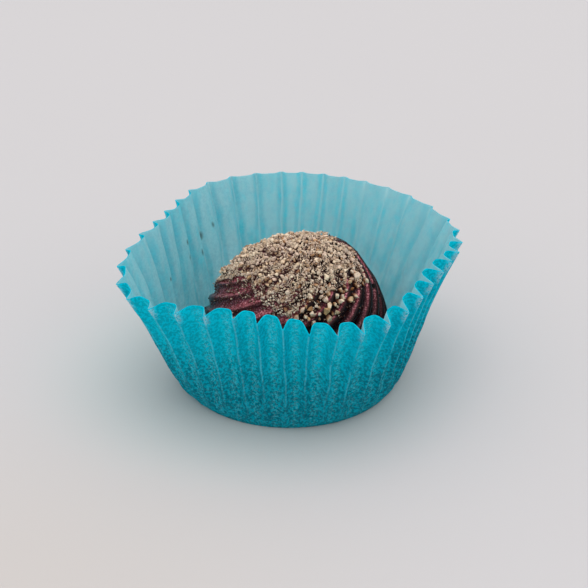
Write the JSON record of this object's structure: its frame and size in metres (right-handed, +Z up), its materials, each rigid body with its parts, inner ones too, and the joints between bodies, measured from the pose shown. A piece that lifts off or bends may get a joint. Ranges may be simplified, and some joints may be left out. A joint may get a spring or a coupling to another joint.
{
  "type": "chocolate truffle in a paper case",
  "caption": "Moulded dark chocolate dome with swirled ribs and a chopped-nut crown, resting in a flared paper case with pleated walls.",
  "frame": {"origin": "centre of the paper case's flat base, on the surface it stands on", "axes": "+Z up, -Y towards the side that the chocolate's topping spills down, +X to its right seen from there"},
  "size_m": [0.0513, 0.0506, 0.0223],
  "materials": {
    "case_paper": "matt greaseproof paper, dyed teal, paler inside",
    "chocolate": "satin dark chocolate with a burgundy sheen on the ribs",
    "nuts": "chopped pale nuts, matt and slightly see-through"
  },
  "bodies": {
    "root": {"paper_case": "case_paper", "truffle": "chocolate"}
  },
  "joints": []
}
